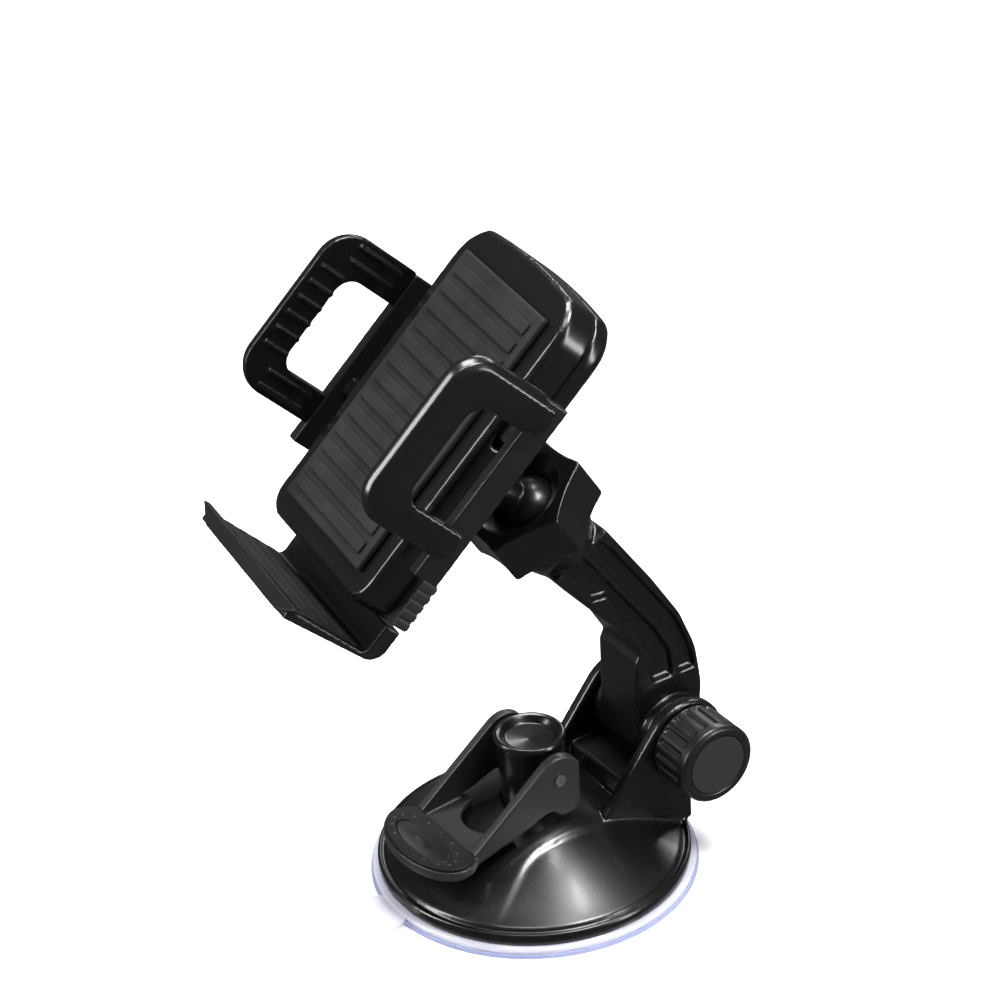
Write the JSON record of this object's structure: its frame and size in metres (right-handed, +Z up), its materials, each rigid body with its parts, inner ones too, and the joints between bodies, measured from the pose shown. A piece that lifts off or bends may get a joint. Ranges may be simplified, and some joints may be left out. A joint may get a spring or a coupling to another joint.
{
  "type": "car phone mount",
  "caption": "Suction base with a cam lock lever, a swing arm on a knobbed pivot, a ball joint under a clamp nut, and a phone cradle with geared side grips and a pull-out foot.",
  "frame": {"origin": "centre of the round base, on the underside of the gel layer, where the mount sticks to a surface", "axes": "+Z up out of the base, the lock lever towards -Y, the arm knob on +X"},
  "size_m": [0.0864, 0.1173, 0.1609],
  "materials": {
    "gel": "translucent",
    "disc": "translucent",
    "gloss_black": "gloss",
    "satin_black": "satin",
    "satin_grey": "satin",
    "nut_black": "gloss",
    "ball_black": "gloss",
    "dark_plastic": "matte",
    "lever_grey": "satin",
    "pad_insert": "matte",
    "steel": "brushed",
    "spring": "polished",
    "brass": "machined",
    "washer": "matte",
    "bush": "satin",
    "gear": "satin",
    "rubber": "matte"
  },
  "bodies": {
    "base": {"gel_layer": "gel", "suction_disc": "disc", "base_housing": "gloss_black", "pivot_bolt": "steel", "pivot_washers": "washer", "stem_spring": "spring"},
    "stem": {"stem_post": "gloss_black", "stem_plate": "dark_plastic", "stem_screw": "steel", "lever_pin": "steel"},
    "lever": {"lock_lever": "lever_grey", "lever_pad": "pad_insert"},
    "knob": {"knob_body": "satin_black", "knob_insert": "brass", "knob_cap": "satin_grey"},
    "arm": {"arm_body": "gloss_black", "arm_bush": "bush"},
    "nut": {"clamp_nut": "nut_black"},
    "seat": {"ball_seat": "bush"},
    "ball": {"ball_stud": "ball_black"},
    "cradle": {"front_shell": "gloss_black", "rear_shell": "gloss_black", "front_pad": "rubber", "stud_retainer": "dark_plastic", "retainer_screws": "steel", "shell_screws": "steel", "pinion_pin": "steel", "pawl_pin": "steel", "jaw_spring": "spring", "button_spring": "spring"},
    "jaw_right": {"jaw_right": "satin_black", "grip_right": "gloss_black"},
    "jaw_left": {"jaw_left": "satin_black", "grip_left": "gloss_black"},
    "pinion": {"pinion": "gear"},
    "button": {"release_button": "lever_grey"},
    "pawl": {"latch_pawl": "gear"},
    "foot": {"foot_bracket": "satin_black", "foot_pad": "rubber"}
  },
  "joints": [
    {"name": "stem_slide", "type": "slide", "parent": "base", "child": "stem", "axis": [0, 0, 1], "range_m": [-0.002, 0], "deforming": ["stem_spring", "suction_disc"]},
    {"name": "lever_hinge", "type": "hinge", "parent": "stem", "child": "lever", "pos_m": [0, 0, 0.0305], "axis": [1, 0, 0], "range_deg": [-85, 0]},
    {"name": "knob_spin", "type": "hinge", "parent": "base", "child": "knob", "pos_m": [0, 0.0354, 0.0284], "axis": [1, 0, 0], "continuous": true},
    {"name": "arm_hinge", "type": "hinge", "parent": "base", "child": "arm", "pos_m": [0, 0.0354, 0.0284], "axis": [1, 0, 0], "range_deg": [-45, 25]},
    {"name": "nut_spin", "type": "hinge", "parent": "arm", "child": "nut", "pos_m": [0, 0.0032, 0.09785], "axis": [0, -0.527, 0.8499], "continuous": true},
    {"name": "seat_spin", "type": "hinge", "parent": "arm", "child": "seat", "pos_m": [0, 0.0032, 0.09785], "axis": [0, -0.527, 0.8499], "continuous": true},
    {"name": "ball_tilt", "type": "hinge", "parent": "seat", "child": "ball", "pos_m": [0, 0.0032, 0.09785], "axis": [0.8832, -0.3985, -0.2471], "range_deg": [-45, 15]},
    {"name": "cradle_spin", "type": "hinge", "parent": "ball", "child": "cradle", "pos_m": [0, 0.0032, 0.09785], "axis": [-0.1212, -0.703, 0.7008], "continuous": true},
    {"name": "jaw_right_slide", "type": "slide", "parent": "cradle", "child": "jaw_right", "axis": [0.9885, -0.1495, 0.0209], "range_m": [-0.006, 0.009], "deforming": ["jaw_spring"]},
    {"name": "jaw_left_slide", "type": "slide", "parent": "cradle", "child": "jaw_left", "axis": [-0.9885, 0.1495, -0.0209], "range_m": [-0.006, 0.009]},
    {"name": "pinion_spin", "type": "hinge", "parent": "cradle", "child": "pinion", "pos_m": [-0.00392, -0.01853, 0.12795], "axis": [0.1212, 0.703, -0.7008], "range_deg": [-58, 86.5]},
    {"name": "button_slide", "type": "slide", "parent": "cradle", "child": "button", "axis": [-0.9885, 0.1495, -0.0209], "range_m": [0, 0.0015], "stiffness_N_per_m": 300, "springref_m": -0.001, "deforming": ["button_spring"]},
    {"name": "pawl_hinge", "type": "hinge", "parent": "cradle", "child": "pawl", "pos_m": [-0.00078, -0.03319, 0.11379], "axis": [0.1212, 0.703, -0.7008], "range_deg": [0, 6.5]},
    {"name": "foot_slide", "type": "slide", "parent": "cradle", "child": "foot", "axis": [0.09, 0.6953, 0.7131], "range_m": [-0.012, 0]}
  ],
  "couplings": [
    {"joint": "lever_hinge", "follows": "stem_slide", "rad_per_m": 741.76},
    {"joint": "jaw_left_slide", "follows": "jaw_right_slide", "ratio": 1},
    {"joint": "pinion_spin", "follows": "jaw_right_slide", "rad_per_m": 166.67},
    {"joint": "pawl_hinge", "follows": "button_slide", "rad_per_m": 71.43}
  ]
}
